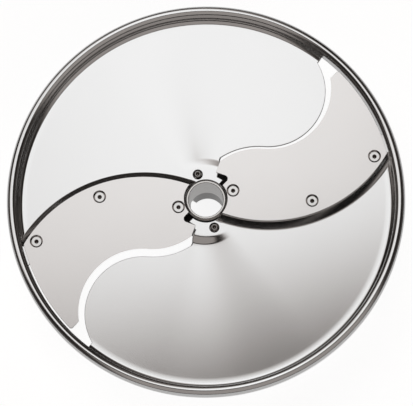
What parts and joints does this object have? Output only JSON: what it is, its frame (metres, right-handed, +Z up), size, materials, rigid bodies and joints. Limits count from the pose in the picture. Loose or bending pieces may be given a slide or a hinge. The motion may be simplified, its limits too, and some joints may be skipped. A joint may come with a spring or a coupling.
{
  "type": "food processor slicing disc",
  "caption": "Round pressed steel slicing disc with a rolled rim, S-shaped blades screwed on raised platforms over slots, and a bored hub under the middle for a drive shaft.",
  "frame": {"origin": "on the axis of rotation, at the lower end of the hub, on which the disc stands", "axes": "+Z up along the axis of rotation, from the hub's lower end to the blades; +X through the hub screw of the right blade; the disc cuts when it turns counter-clockwise seen from above"},
  "size_m": [0.205, 0.205, 0.0451],
  "materials": {
    "plate_steel": "satin pressed stainless sheet",
    "blade_steel": "satin ground stainless blade",
    "hub_steel": "turned stainless",
    "screw_steel": "bright stainless"
  },
  "bodies": {
    "root": {"disc_plate": "plate_steel", "blade_right": "blade_steel", "blade_left": "blade_steel", "hub": "hub_steel", "blade_rim_screws": "screw_steel", "blade_hub_screws": "screw_steel", "plate_screws": "screw_steel", "blade_nuts": "screw_steel"}
  },
  "joints": []
}
